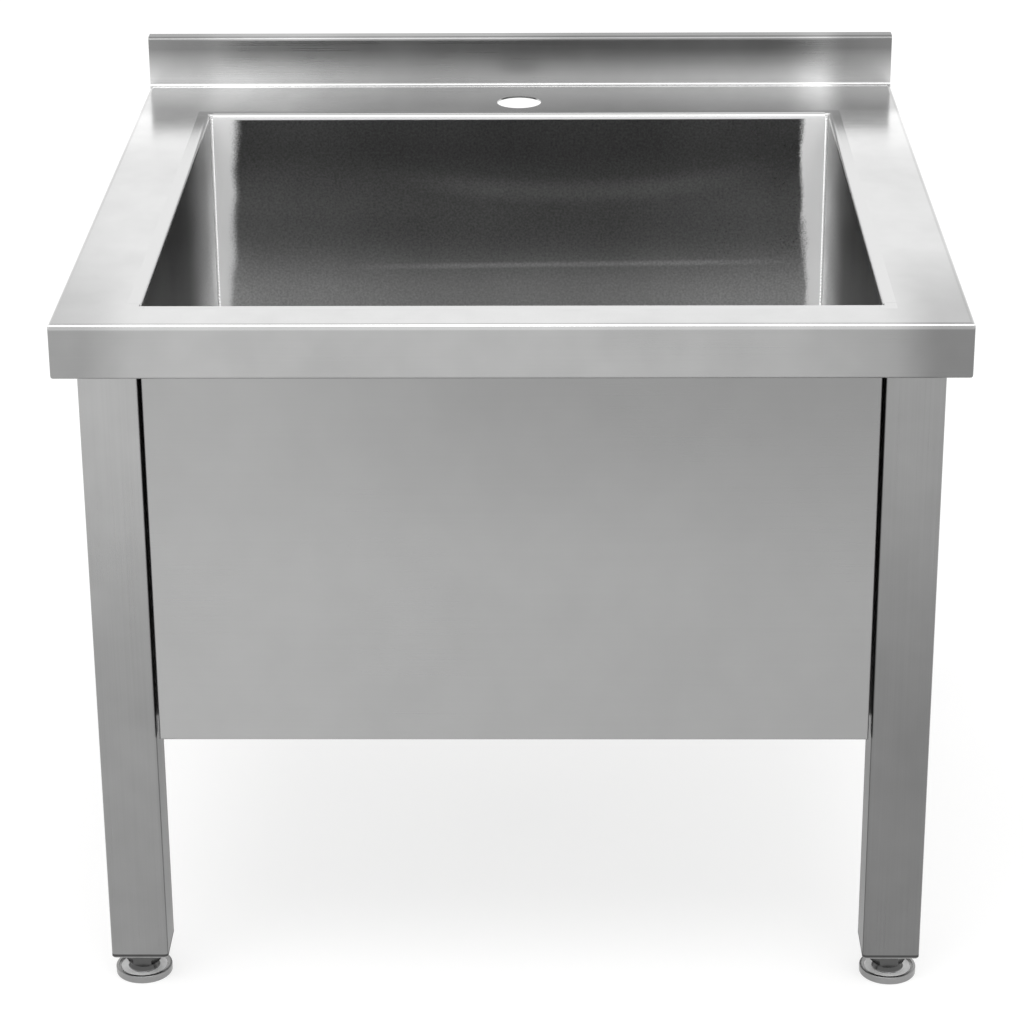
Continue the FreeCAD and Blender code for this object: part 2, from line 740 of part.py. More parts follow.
def basket():
    """Lift-out strainer basket, pierced round the edge of its floor and in staggered rows round its wall."""
    y = BOWL_MID_Y
    hole = BASKET_HOLE_DIAMETER / 2
    cuts = []
    for hole_x, hole_y in ring_of(BASKET_FLOOR_RING, BASKET_FLOOR_HOLES, 0, y):
        cuts.append(cylinder(hole, BASKET_BOTTOM - BASKET_SHEET, BASKET_FLOOR + BASKET_SHEET, hole_x, hole_y))
    middle = (BASKET_FLOOR + BASKET_RIM_BOTTOM) / 2
    first_row = middle - BASKET_WALL_ROW_STEP * (BASKET_WALL_ROWS - 1) / 2
    for row in range(BASKET_WALL_ROWS):
        height = first_row + row * BASKET_WALL_ROW_STEP
        start = math.pi / BASKET_WALL_HOLES * row
        for i in range(BASKET_WALL_HOLES):
            angle = start + 2 * math.pi / BASKET_WALL_HOLES * i
            outward = Vector(math.cos(angle), math.sin(angle), 0)
            base = Vector(0, y, height) + outward * (BASKET_LOW_RADIUS / 2)
            cuts.append(Part.makeCylinder(hole, BASKET_TOP_RADIUS, base, outward))
    return one_solid(basket_shell().cut(cuts))


def basket_seal():
    """Rubber ring under the basket, which covers the cup's holes and clears the clamp screw's head."""
    return ring(CLAMP_HEAD_DIAMETER / 2 + SEAL_HOLE_CLEARANCE, SEAL_DIAMETER / 2, SEAL_BOTTOM, BASKET_BOTTOM)


def basket_handle():
    """Post and knob that the basket is lifted by."""
    post = HANDLE_DIAMETER / 2
    knob = HANDLE_KNOB_DIAMETER / 2
    top = BASKET_RIM_BOTTOM - HANDLE_DROP
    under = top - HANDLE_KNOB_HEIGHT
    edge = HANDLE_KNOB_HEIGHT / 3
    return one_solid(
        turned(
            [
                (0, BASKET_FLOOR),
                (post, BASKET_FLOOR),
                (post, under),
                (knob - edge, under),
                (knob, under + edge),
                (knob, top - edge),
                (knob - edge, top),
                (0, top),
            ],
            0,
            BOWL_MID_Y,
        )
    )


def pieces():
    """Every piece of the sink by name."""
    drain_hole = DRAIN_HOLE_DIAMETER / 2
    made = {
        "worktop": worktop(),
        "bowl": bowl(),
        "front_apron": front_apron(),
        "left_apron": side_apron(-1),
        "right_apron": side_apron(1),
        "left_rail": side_rail(-1),
        "right_rail": side_rail(1),
        "rear_rail": rear_rail(),
        "drain_flange": drain_flange(),
        "drain_upper_gasket": ring(drain_hole, FLANGE_DIAMETER / 2, RECESS_FLOOR, FLANGE_BOTTOM),
        "drain_lower_gasket": ring(drain_hole, BODY_FLANGE_DIAMETER / 2, BODY_TOP, BOWL_UNDERSIDE),
        "drain_body": drain_body(),
        "drain_clamp_screw": clamp_screw(),
        "basket": basket(),
        "basket_seal": basket_seal(),
        "basket_handle": basket_handle(),
    }
    for row, y in [("front", -LEG_Y), ("rear", LEG_Y)]:
        for side, x in [("left", -LEG_X), ("right", LEG_X)]:
            made[f"{row}_{side}_leg"] = leg(x, y)
            made[f"{row}_{side}_plug"] = leg_plug(x, y)
            made[f"{row}_{side}_foot_stem"] = foot_stem(x, y)
            made[f"{row}_{side}_foot_pad"] = foot_pad(x, y)
    return made


os.makedirs("parts", exist_ok=True)
for name, solid in pieces().items():
    solid.exportStep(f"parts/{name}.step")
    print(name, "valid" if solid.isValid() else "NOT VALID", round(solid.Volume))
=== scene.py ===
"""A low utility laundry sink in satin stainless steel: one deep bowl in a folded worktop, on square legs."""

import math

import bmesh
import bpy
from mathutils import Matrix, Vector


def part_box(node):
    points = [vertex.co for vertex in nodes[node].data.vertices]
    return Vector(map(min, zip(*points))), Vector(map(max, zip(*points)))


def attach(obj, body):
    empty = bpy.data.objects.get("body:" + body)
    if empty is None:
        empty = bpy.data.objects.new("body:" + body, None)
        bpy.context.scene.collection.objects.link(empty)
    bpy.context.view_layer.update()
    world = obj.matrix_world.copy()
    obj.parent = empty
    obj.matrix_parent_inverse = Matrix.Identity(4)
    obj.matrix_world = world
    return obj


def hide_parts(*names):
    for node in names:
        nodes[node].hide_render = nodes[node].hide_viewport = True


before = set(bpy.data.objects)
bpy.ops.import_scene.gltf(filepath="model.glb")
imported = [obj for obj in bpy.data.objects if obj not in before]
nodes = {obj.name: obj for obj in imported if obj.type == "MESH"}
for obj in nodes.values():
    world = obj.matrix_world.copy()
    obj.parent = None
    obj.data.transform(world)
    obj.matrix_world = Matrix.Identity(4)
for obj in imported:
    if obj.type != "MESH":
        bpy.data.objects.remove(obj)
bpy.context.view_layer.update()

# Room: a pale floor under plain soft studio light, seen from a standing height in front of the sink. A wide
# box in front and overhead lights the folds and the deck, a panel behind is mirrored in the deck, and the
# floor in front lights the upright faces.
CAMERA_PLACE = (0.030, -2.279, 1.1955)
CAMERA_DOWN = 22.667
CAMERA_LEFT = 0.861
CAMERA_ROLL = -0.367
CAMERA_LENS = 114.17
SENSOR_WIDTH = 36.0
VIEW_REACH = 100.0
PLAIN_WHITE = (1.0, 1.0, 1.0, 1.0)
ROOM_STRENGTH = 1.0
FLOOR_REACH = 14.0
FLOOR_GREY = (0.38, 0.38, 0.378, 1.0)
FLOOR_ROUGHNESS = 0.9
FLOOR_GLOW = 0.64

scene = bpy.context.scene
scene.view_settings.view_transform = "Standard"
camera_data = bpy.data.cameras.new("front_camera")
camera_data.lens = CAMERA_LENS
camera_data.sensor_width = SENSOR_WIDTH
camera_data.clip_end = VIEW_REACH
camera = bpy.data.objects.new("front_camera", camera_data)
turn = Matrix.Rotation(math.radians(CAMERA_LEFT), 4, "Z")
tilt = Matrix.Rotation(math.radians(90 - CAMERA_DOWN), 4, "X")
roll = Matrix.Rotation(math.radians(CAMERA_ROLL), 4, "Z")
camera.matrix_world = Matrix.Translation(CAMERA_PLACE) @ turn @ tilt @ roll
scene.collection.objects.link(camera)
scene.camera = camera


def soft_box(name, place, look_at, wide, high, radiance):
    """A soft studio light of a stated size and radiance, aimed at a point and not itself in the picture."""
    data = bpy.data.lights.new(name, "AREA")
    data.shape = "RECTANGLE"
    data.size = wide
    data.size_y = high
    data.energy = radiance * math.pi * wide * high
    light = bpy.data.objects.new(name, data)
    aim = (Vector(look_at) - Vector(place)).to_track_quat("-Z", "Y")
    light.matrix_world = Matrix.Translation(place) @ aim.to_matrix().to_4x4()
    light.visible_camera = False
    scene.collection.objects.link(light)


soft_box(
    "overhead_box", place=(-0.2, -1.15, 2.7), look_at=(0.0, -0.1, 0.4), wide=3.0, high=1.5, radiance=2.1
)
soft_box(
    "back_panel", place=(0.0, 3.3, 2.05), look_at=(0.0, 0.0, 0.5), wide=1.7, high=1.6, radiance=0.22
)

room = bpy.data.worlds.new("studio_room")
room.use_nodes = True
room.node_tree.nodes["Background"].inputs["Color"].default_value = PLAIN_WHITE
room.node_tree.nodes["Background"].inputs["Strength"].default_value = ROOM_STRENGTH
scene.world = room

floor_mesh = bpy.data.meshes.new("studio_floor")
floor_corners = [(x * FLOOR_REACH, y * FLOOR_REACH, 0.0) for x, y in ((-1, -1), (1, -1), (1, 1), (-1, 1))]
floor_mesh.from_pydata(floor_corners, [], [(0, 1, 2, 3)])
studio_floor = bpy.data.objects.new("studio_floor", floor_mesh)
floor_paint = bpy.data.materials.new("floor_paint")
floor_paint.use_nodes = True
floor_shader = floor_paint.node_tree.nodes["Principled BSDF"]
floor_shader.inputs["Base Color"].default_value = FLOOR_GREY
floor_shader.inputs["Roughness"].default_value = FLOOR_ROUGHNESS
floor_shader.inputs["Emission Color"].default_value = PLAIN_WHITE
floor_shader.inputs["Emission Strength"].default_value = FLOOR_GLOW
floor_mesh.materials.append(floor_paint)
scene.collection.objects.link(studio_floor)

# Worktop: deck, rim, return lips and upstand in one folded 1.2 mm sheet, satin ground along its length. The
# rim carries painted shade, darker than the deck and darker towards the right, the deck and upstand carry
# painted light and shade, and the upstand is left a little more matt. Tones and places below are shares of
# the deck's lightness, and metres from the sink's middle and from the floor.
ALONG_X = (5.0, 900.0, 900.0)
SMEARS = (31.0, 23.0, 27.0)
SMEAR_SHARE = 0.7
STEEL_TINT = (0.999, 1.0, 0.999)
DECK_TONE = 0.6
DECK_GLOSS = 0.16
DECK_TOP = 0.4975
# Painted shade: the rim's share of the deck's lightness.
RIM_PAINTED_SHADE = 0.7
RIM_MATT = 0.15
# Painted light: the upstand's share of the deck's lightness at its foot.
UPSTAND_FOOT_PAINTED_LIGHT = 0.92
UPSTAND_MATT = 0.14


class Finish:
    """A material under construction, with short calls for the nodes that a metal or plastic finish needs."""

    def __init__(self, name):
        self.material = bpy.data.materials.new(name)
        self.material.use_nodes = True
        self.tree = self.material.node_tree
        self.shader = self.tree.nodes["Principled BSDF"]
        self.place = self.node("ShaderNodeTexCoord").outputs["Object"]
        self.across, self.along, self.height = self.split(self.place)
        self.relief = None

    def node(self, kind, **values):
        """A new node, with its own properties set."""
        made = self.tree.nodes.new(kind)
        for key, value in values.items():
            setattr(made, key, value)
        return made

    def join(self, source, socket):
        self.tree.links.new(source, socket)

    def split(self, vector):
        node = self.node("ShaderNodeSeparateXYZ")
        self.join(vector, node.inputs["Vector"])
        return node.outputs

    def set(self, **values):
        """Values that are the same all over the surface."""
        for key, value in values.items():
            self.shader.inputs[key.replace("_", " ")].default_value = value

    def drive(self, **sources):
        """Values that vary over the surface."""
        for key, source in sources.items():
            self.join(source, self.shader.inputs[key.replace("_", " ")])

    def noise(self, scale, detail=3.0, roughness=0.55, offset=(0.0, 0.0, 0.0)):
        """Noise with its own number of cells a metre along X, Y and Z."""
        mapping = self.node("ShaderNodeMapping")
        mapping.inputs["Scale"].default_value = scale
        mapping.inputs["Location"].default_value = offset
        self.join(self.place, mapping.inputs["Vector"])
        texture = self.node("ShaderNodeTexNoise")
        texture.inputs["Scale"].default_value = 1.0
        texture.inputs["Detail"].default_value = detail
        texture.inputs["Roughness"].default_value = roughness
        self.join(mapping.outputs["Vector"], texture.inputs["Vector"])
        return texture.outputs["Fac"]

    def spread(self, value, gives, over=(0.3, 0.7), soft=False):
        """A value carried from one range to another, and held within it. Most noise lies from 0.3 to 0.7."""
        node = self.node("ShaderNodeMapRange", interpolation_type="SMOOTHSTEP" if soft else "LINEAR")
        for socket, number in zip(node.inputs[1:5], (*over, *gives)):
            socket.default_value = number
        self.join(value, node.inputs["Value"])
        return node.outputs["Result"]

    def math(self, operation, first, second=0.0):
        node = self.node("ShaderNodeMath", operation=operation)
        for socket, value in zip(node.inputs, (first, second)):
            if isinstance(value, (int, float)):
                socket.default_value = value
            else:
                self.join(value, socket)
        return node.outputs["Value"]

    def total(self, *values):
        so_far = values[0]
        for value in values[1:]:
            so_far = self.math("ADD", so_far, value)
        return so_far

    def product(self, *values):
        so_far = values[0]
        for value in values[1:]:
            so_far = self.math("MULTIPLY", so_far, value)
        return so_far

    def towards(self, start, end, share):
        """One value where the share is 0, and the other where it is 1."""
        return self.math("ADD", self.product(self.math("SUBTRACT", end, start), share), start)

    def grey(self, value, tint=(1.0, 1.0, 1.0)):
        """A neutral colour of a varying lightness."""
        node = self.node("ShaderNodeCombineColor")
        for socket, share in zip(node.inputs, tint):
            self.join(self.math("MULTIPLY", value, share), socket)
        return node.outputs["Color"]

    def bump(self, height, distance):
        """Fine relief from a height, where a height of 1 is the distance in metres."""
        node = self.node("ShaderNodeBump")
        node.inputs["Distance"].default_value = distance
        self.join(height, node.inputs["Height"])
        self.join(node.outputs["Normal"], self.shader.inputs["Normal"])


def satin_steel(
    name, tone, roughness, grain=ALONG_X, cloud=7.0, depth=0.00001, streak=0.02, anisotropy=0.3, vary=0.05,
    shade=None,
):
    """Ground stainless steel: fine lines along the grain, soft clouds, and a gloss that follows both."""
    finish = Finish(name)
    lines = finish.noise(grain, detail=4.0, roughness=0.6)
    clouds = finish.noise(scale=(cloud, cloud, cloud), detail=4.0)
    smears = finish.noise(SMEARS, detail=2.0, offset=(3.0, 1.0, 7.0))
    streaked = finish.spread(lines, gives=(-streak, streak))
    clouded = finish.spread(clouds, gives=(-vary, vary))
    smeared = finish.spread(smears, gives=(-SMEAR_SHARE * vary, SMEAR_SHARE * vary))
    light = finish.product(finish.total(1.0, streaked, clouded, smeared), tone)
    dulled = finish.spread(clouds, gives=(-0.03, 0.05))
    lined = finish.spread(lines, gives=(-0.03, 0.03))
    gloss = finish.total(roughness, dulled, lined)
    if shade:
        light, gloss = shade(finish, light, gloss)
    finish.drive(Base_Color=finish.grey(light, STEEL_TINT), Roughness=gloss)
    relief = finish.product(lines, depth)
    if finish.relief:
        relief = finish.total(relief, finish.relief)
    finish.bump(relief, distance=1.0)
    finish.set(Metallic=1.0, Anisotropic=anisotropy)
    return finish.material


def dress(node, material):
    """Gives a CAD piece its finish."""
    nodes[node].data.materials.clear()
    nodes[node].data.materials.append(material)


def rim_painted_shade(finish, rim):
    """Painted shade on the rim: its share of the deck's lightness, smaller towards the right and at its left
    end.
    """
    to_right = finish.spread(finish.across, gives=(1.0, 0.94), over=(-0.3, 0.1))
    far_right = finish.spread(finish.across, gives=(1.0, 0.8), over=(0.12, 0.3), soft=True)
    far_left = finish.spread(finish.across, gives=(0.9, 1.0), over=(-0.3, -0.18), soft=True)
    return finish.towards(1.0, finish.product(to_right, far_right, far_left, RIM_PAINTED_SHADE), rim)


def upstand_painted_light(finish, upstand):
    """Painted light and shade on the upstand: its share of the deck's lightness, larger at its foot and at
    its ends.
    """
    aside = finish.math("ABSOLUTE", finish.across)
    ends = finish.spread(aside, gives=(0.0, 1.0), over=(0.17, 0.27), soft=True)
    foot_ends = finish.spread(finish.across, gives=(1.05, 1.18), over=(-0.1, 0.1))
    top_middle = finish.spread(finish.across, gives=(0.53, 0.38), over=(-0.03, 0.05), soft=True)
    top_ends = finish.spread(finish.across, gives=(0.38, 0.42), over=(-0.1, 0.1))
    foot = finish.towards(UPSTAND_FOOT_PAINTED_LIGHT, foot_ends, ends)
    top = finish.towards(top_middle, top_ends, ends)
    rise = finish.spread(finish.height, gives=(0.0, 1.0), over=(0.506, 0.53))
    return finish.towards(1.0, finish.towards(foot, top, rise), upstand)


def deck_painted_light(finish):
    """Painted light and shade on the deck, lighter or darker at its rear, its right arm and its corners."""
    rear = finish.spread(finish.along, gives=(0.0, 1.0), over=(0.04, 0.19), soft=True)
    rear_left = finish.spread(finish.across, gives=(0.38, 0.02), over=(-0.25, -0.08), soft=True)
    rear_right = finish.spread(finish.across, gives=(-0.06, 0.02), over=(0.05, 0.2), soft=True)
    right_arm = finish.spread(finish.across, gives=(0.0, 0.32), over=(0.21, 0.25), soft=True)
    patches = finish.product(rear, finish.total(rear_left, rear_right, right_arm))
    ledge = finish.spread(finish.along, gives=(0.0, 1.0), over=(0.19, 0.22), soft=True)
    aside = finish.math("ABSOLUTE", finish.across)
    outer = finish.spread(aside, gives=(0.0, 1.0), over=(0.24, 0.265), soft=True)
    darker = finish.spread(finish.across, gives=(-0.2, -0.5), over=(-0.1, 0.1))
    rear_corners = finish.product(ledge, outer, darker)
    front = finish.spread(finish.along, gives=(1.0, 0.0), over=(-0.27, -0.12), soft=True)
    front_right = finish.spread(finish.across, gives=(0.0, -0.35), over=(0.24, 0.28), soft=True)
    front_left = finish.spread(finish.across, gives=(-0.2, 0.0), over=(-0.28, -0.24), soft=True)
    front_corners = finish.product(front, finish.total(front_right, front_left))
    return finish.total(1.0, patches, rear_corners, front_corners)


def shade_worktop(finish, light, gloss):
    """The painted light and shade of deck, rim and upstand, and the more matt rim and upstand."""
    rim = finish.spread(finish.height, gives=(1.0, 0.0), over=(DECK_TOP - 0.002, DECK_TOP), soft=True)
    upstand = finish.spread(finish.height, gives=(0.0, 1.0), over=(0.5005, 0.503))
    # Painted light and shade on rim, deck and upstand.
    light = finish.product(light, rim_painted_shade(finish, rim), deck_painted_light(finish), upstand_painted_light(finish, upstand))
    return light, finish.total(gloss, finish.product(upstand, UPSTAND_MATT), finish.product(rim, RIM_MATT))


dress("worktop", satin_steel("worktop_steel", DECK_TONE, DECK_GLOSS, shade=shade_worktop))

# Bowl: walls and floor folded from 1.2 mm sheet, with the lip rolled out to the deck. Its upright corners are
# welded, each in a fine ripple that is painted bright as a painted highlight, and dressed with a flap wheel,
# which leaves a more matt band down each side of them, painted pale as a painted highlight. The walls carry
# painted shade and light, and painted reflections.
CORNER_X = 0.243
CORNER_FRONT = -0.260
CORNER_REAR = 0.198
WALL_FACE = (0.0008, 0.0016)
SPECKLE = (560.0, 560.0, 560.0)
BOWL_TONE = 0.5
BOWL_GLOSS = 0.31
# Painted light: the front wall's share of the bowl's tone.
FRONT_WALL_PAINTED_LIGHT = 1.6
OUTSIDE_TONE = 0.5
BAND_LOW = 0.0135
BAND_HIGH = 0.022
# Painted highlight: the near-white tone of the dressed bands.
BAND_PAINTED_HIGHLIGHT = 1.0
BAND_GLOSS = 0.6
BAND_METAL = 0.1
SIDE_BAND_SHARE = 0.06
SEAM_PITCH = 0.0012
SEAM_RELIEF = 0.00015
SEAM_PAINTED_HIGHLIGHT = 0.97
# Painted highlight: the near-white tone along the welded corners.
SEAM_GLOSS = 0.25
MARKS_ACROSS = 0.04
# Painted reflections: a pale arc and a pale level line on the walls.
REFLECTION_HEIGHT = 0.437
REFLECTION_BEND = 0.67
LINE_HEIGHT = 0.3755
LINE_TILT = 0.012


def dressed_band_and_painted_light(finish, near, on_end):
    """How far a place is painted pale: ragged dressed corner bands and the lip as painted highlight, and
    light low down.
    """
    wavering = finish.noise(scale=(60.0, 60.0, 26.0), detail=5.0, offset=(2.0, 5.0, 1.0))
    gritty = finish.noise(scale=(900.0, 900.0, 900.0), detail=1.0, offset=(9.0, 4.0, 2.0))
    waver = finish.spread(wavering, gives=(-0.0025, 0.0025))
    grit = finish.spread(gritty, gives=(-0.0014, 0.0014))
    width = finish.spread(finish.height, gives=(BAND_LOW, BAND_HIGH), over=(0.34, 0.49))
    crispness = finish.spread(finish.across, gives=(95.0, 170.0), over=(-0.1, 0.1))
    edge = finish.product(finish.math("SUBTRACT", finish.total(near, waver, grit), width), crispness)
    band = finish.spread(edge, gives=(1.0, 0.0), over=(-0.7, 0.3), soft=True)
    band = finish.product(band, finish.towards(SIDE_BAND_SHARE, 1.0, on_end))
    # Painted highlight: a pale strip along the lip of the end walls.
    lip = finish.product(finish.spread(finish.height, gives=(0.0, 1.0), over=(0.4953, 0.4960)), on_end)
    # Painted light: a paler strip low on the walls.
    painted_low_light = finish.spread(finish.height, gives=(0.16, 0.0), over=(0.345, 0.4), soft=True)
    painted_low_light = finish.product(painted_low_light, finish.spread(finish.height, gives=(0.0, 1.0), over=(0.27, 0.33)))
    return finish.math("MAXIMUM", finish.math("MAXIMUM", band, lip), painted_low_light)


def wall_painted_light_and_shade(finish, aside, on_end):
    """Painted shade and light on the walls: less up high, in the middle, and in front on the side walls."""
    upper = finish.spread(finish.height, gives=(1.0, 0.54), over=(0.42, 0.475), soft=True)
    middle = finish.spread(finish.height, gives=(1.0, 0.58), over=(0.345, 0.415), soft=True)
    lower = finish.spread(finish.height, gives=(1.0, 1.28), over=(0.26, 0.33), soft=True)
    end_share = finish.spread(aside, gives=(0.68, 1.0), over=(0.06, 0.2), soft=True)
    side_share = finish.spread(finish.along, gives=(0.22, 1.75), over=(0.0, 0.12), soft=True)
    share = finish.product(upper, middle, lower, finish.towards(side_share, end_share, on_end))
    on_front = finish.spread(finish.along, gives=(1.0, 0.0), over=[CORNER_FRONT + off for off in WALL_FACE])
    return finish.towards(share, FRONT_WALL_PAINTED_LIGHT, on_front)


def painted_reflections(finish):
    """Painted reflections, both paler: a soft curved band high on the end walls, and a thin level line lower
    down.
    """
    sideways = finish.math("SUBTRACT", finish.across, MARKS_ACROSS)
    off = finish.math("ABSOLUTE", sideways)
    arc = finish.total(finish.height, finish.product(sideways, sideways, -REFLECTION_BEND), -REFLECTION_HEIGHT)
    reflection = finish.spread(finish.math("ABSOLUTE", arc), gives=(0.4, 0.0), over=(0.0, 0.014), soft=True)
    reflection_ends = finish.spread(off, gives=(1.0, 0.0), over=(0.06, 0.17), soft=True)
    level = finish.total(finish.height, finish.product(finish.across, -LINE_TILT), -LINE_HEIGHT)
    line = finish.spread(finish.math("ABSOLUTE", level), gives=(0.6, 0.0), over=(0.0004, 0.0034), soft=True)
    line_ends = finish.spread(off, gives=(1.0, 0.0), over=(0.07, 0.2), soft=True)
    return finish.total(1.0, finish.product(reflection, reflection_ends), finish.product(line, line_ends))


def shade_bowl(finish, light, gloss):
    """The walls' painted light and shade and dressed corners, and a margin that can't be told from the deck
    around it.
    """
    aside = finish.math("ABSOLUTE", finish.across)
    from_side = finish.math("SUBTRACT", CORNER_X, aside)
    middle_y = (CORNER_FRONT + CORNER_REAR) / 2
    half_length = (CORNER_REAR - CORNER_FRONT) / 2
    off_middle = finish.math("ABSOLUTE", finish.math("SUBTRACT", finish.along, middle_y))
    from_end = finish.math("SUBTRACT", half_length, off_middle)
    near = finish.math("MAXIMUM", from_side, from_end)
    depth = finish.math("MINIMUM", from_side, from_end)
    inside = finish.spread(depth, gives=(0.0, 1.0), over=(-0.0009, -0.0003))
    on_end = finish.spread(from_side, gives=(0.0, 1.0), over=WALL_FACE)

    # The weld seam: real ripples in relief, with a painted highlight in its near-white tone.
    seam = finish.spread(near, gives=(1.0, 0.0), over=(0.0019, 0.0023))
    ripples = finish.math("SINE", finish.product(finish.height, math.tau / SEAM_PITCH))
    finish.relief = finish.product(ripples, seam, SEAM_RELIEF)
    seam = finish.product(seam, inside)
    band = finish.product(dressed_band_and_painted_light(finish, near, on_end), inside)

    # Painted light and shade on the walls, and painted reflections.
    light = finish.product(light, wall_painted_light_and_shade(finish, aside, on_end), painted_reflections(finish))
    light = finish.towards(OUTSIDE_TONE, finish.towards(light, BAND_PAINTED_HIGHLIGHT, band), inside)
    light = finish.towards(light, SEAM_PAINTED_HIGHLIGHT, seam)
    gloss = finish.towards(finish.towards(gloss, BAND_GLOSS, band), SEAM_GLOSS, seam)
    margin = finish.spread(finish.height, gives=(0.0, 1.0), over=(0.4965, 0.4985), soft=True)
    off_margin = finish.math("SUBTRACT", 1.0, margin)
    off_seam = finish.math("SUBTRACT", 1.0, seam)
    finish.drive(Metallic=finish.towards(1.0, BAND_METAL, finish.product(band, off_margin, off_seam)))
    return finish.towards(light, DECK_TONE, margin), finish.towards(gloss, DECK_GLOSS, margin)


bowl_steel = satin_steel(
    "bowl_steel", BOWL_TONE, BOWL_GLOSS, grain=SPECKLE, depth=0.000001, streak=0.26, anisotropy=0.0,
    vary=0.03, shade=shade_bowl,
)
dress("bowl", bowl_steel)

# Weld beads: the rails are welded to the legs, and the bowl's margin to the deck's underside, in short
# overlapping ripples that are left as they are, because they are out of sight.
WELD_WIDTH = 0.0026
WELD_SPACING = 0.0013
RIPPLE_LENGTH = 2.2
RIPPLE_HEIGHT = 0.8
WELD_FOOT = 0.001
WELD_HEAD = 0.004
BOWL_WELD_REACH = 0.238
BOWL_WELD_DROP = 0.0014
WELD_BRIGHT = (0.50, 0.49, 0.47, 1.0)
WELD_TARNISHED = (0.36, 0.31, 0.26, 1.0)
MIX_FIRST = 6
MIX_SECOND = 7
MIX_COLOUR = 2


def flat_piece(name, mesh, body, material):
    """A finished mesh as a piece of the sink, with its body and its finish."""
    piece = bpy.data.objects.new(name, mesh)
    scene.collection.objects.link(piece)
    mesh.materials.clear()
    mesh.materials.append(material)
    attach(piece, body)
    return piece


def grown(name, tree, sizes, start=None):
    """The mesh that a Geometry Nodes tree makes from named sizes."""
    holder = bpy.data.objects.new(f"{name}_source", start or bpy.data.meshes.new(f"{name}_source"))
    scene.collection.objects.link(holder)
    modifier = holder.modifiers.new("grow", "NODES")
    modifier.node_group = tree
    sockets = {item.name: item for item in tree.interface.items_tree if item.in_out == "INPUT"}
    for key, value in sizes.items():
        modifier[sockets[key].identifier] = value
    ready = holder.evaluated_get(bpy.context.evaluated_depsgraph_get())
    mesh = bpy.data.meshes.new_from_object(ready)
    mesh.name = name
    holder.modifiers.clear()
    bpy.data.objects.remove(holder)
    return mesh


class Growth:
    """A Geometry Nodes tree under construction, with named inputs for its sizes and its finish."""

    def __init__(self, name, numbers, counts=()):
        self.tree = bpy.data.node_groups.new(name, "GeometryNodeTree")
        face = self.tree.interface
        face.new_socket("Geometry", in_out="INPUT", socket_type="NodeSocketGeometry")
        for key in numbers:
            face.new_socket(key, in_out="INPUT", socket_type="NodeSocketFloat")
        for key in counts:
            face.new_socket(key, in_out="INPUT", socket_type="NodeSocketInt")
        face.new_socket("Finish", in_out="INPUT", socket_type="NodeSocketMaterial")
        face.new_socket("Geometry", in_out="OUTPUT", socket_type="NodeSocketGeometry")
        self.given = self.tree.nodes.new("NodeGroupInput").outputs

    def node(self, kind, inputs=(), **values):
        """The outputs of a new node, whose inputs are given by name or number."""
        made = self.tree.nodes.new(kind)
        for key, value in values.items():
            setattr(made, key, value)
        for key, value in dict(inputs).items():
            socket = made.inputs[key]
            if isinstance(value, bpy.types.NodeSocket):
                self.tree.links.new(value, socket)
            else:
                socket.default_value = value
        return made.outputs

    def math(self, operation, first, second=0.0):
        return self.node("ShaderNodeMath", {0: first, 1: second}, operation=operation)[0]

    def ramp(self, value, low, high):
        """0 up to the low value, 1 from the high one on, and even in between."""
        ends = {"From Min": low, "From Max": high, "To Min": 0.0, "To Max": 1.0}
        return self.node("ShaderNodeMapRange", {"Value": value, **ends})[0]

    def finish(self, geometry):
        """Ends the tree with real geometry in its finish."""
        real = self.node("GeometryNodeRealizeInstances", {"Geometry": geometry})[0]
        in_finish = {"Geometry": real, "Material": self.given["Finish"]}
        dressed = self.node("GeometryNodeSetMaterial", in_finish)[0]
        out = self.tree.nodes.new("NodeGroupOutput")
        self.tree.links.new(dressed, out.inputs[0])
        return self.tree


def weld_tree():
    """Overlapping ripples along the edges of a mesh of lines."""
    growth = Growth("weld_ripples", ["Width", "Spacing"])
    given = growth.given
    path = growth.node("GeometryNodeMeshToCurve", {"Mesh": given["Geometry"]})[0]
    spaced = {"Curve": path, "Length": given["Spacing"]}
    steps = growth.node("GeometryNodeResampleCurve", spaced, mode="LENGTH")[0]
    ripple = growth.node("GeometryNodeMeshIcoSphere", {"Radius": 0.5, "Subdivisions": 2})[0]
    tangent = growth.node("GeometryNodeInputTangent")[0]
    turned = growth.node("FunctionNodeAlignEulerToVector", {"Vector": tangent}, axis="X")[0]
    long = growth.math("MULTIPLY", given["Spacing"], RIPPLE_LENGTH)
    tall = growth.math("MULTIPLY", given["Width"], RIPPLE_HEIGHT)
    size = growth.node("ShaderNodeCombineXYZ", {"X": long, "Y": given["Width"], "Z": tall})[0]
    placed = {"Points": steps, "Instance": ripple, "Rotation": turned, "Scale": size}
    beads = growth.node("GeometryNodeInstanceOnPoints", placed)[0]
    real = growth.node("GeometryNodeRealizeInstances", {0: beads})[0]
    return growth.finish(growth.node("GeometryNodeSetShadeSmooth", {0: real})[0])


def lines_mesh(name, lines):
    """A mesh of separate straight lines."""
    mesh = bpy.data.meshes.new(name)
    points = [point for line in lines for point in line]
    mesh.from_pydata(points, [(i, i + 1) for i in range(0, len(points), 2)], [])
    return mesh


weld = Finish("weld_steel")
heat = weld.noise(scale=(300.0, 300.0, 300.0))
tarnish = weld.node("ShaderNodeMix", data_type="RGBA")
weld.join(weld.spread(heat, gives=(0.0, 1.0)), tarnish.inputs["Factor"])
tarnish.inputs[MIX_FIRST].default_value = WELD_BRIGHT
tarnish.inputs[MIX_SECOND].default_value = WELD_TARNISHED
weld.drive(Base_Color=tarnish.outputs[MIX_COLOUR], Roughness=weld.spread(heat, gives=(0.3, 0.5)))
weld.set(Metallic=1.0)

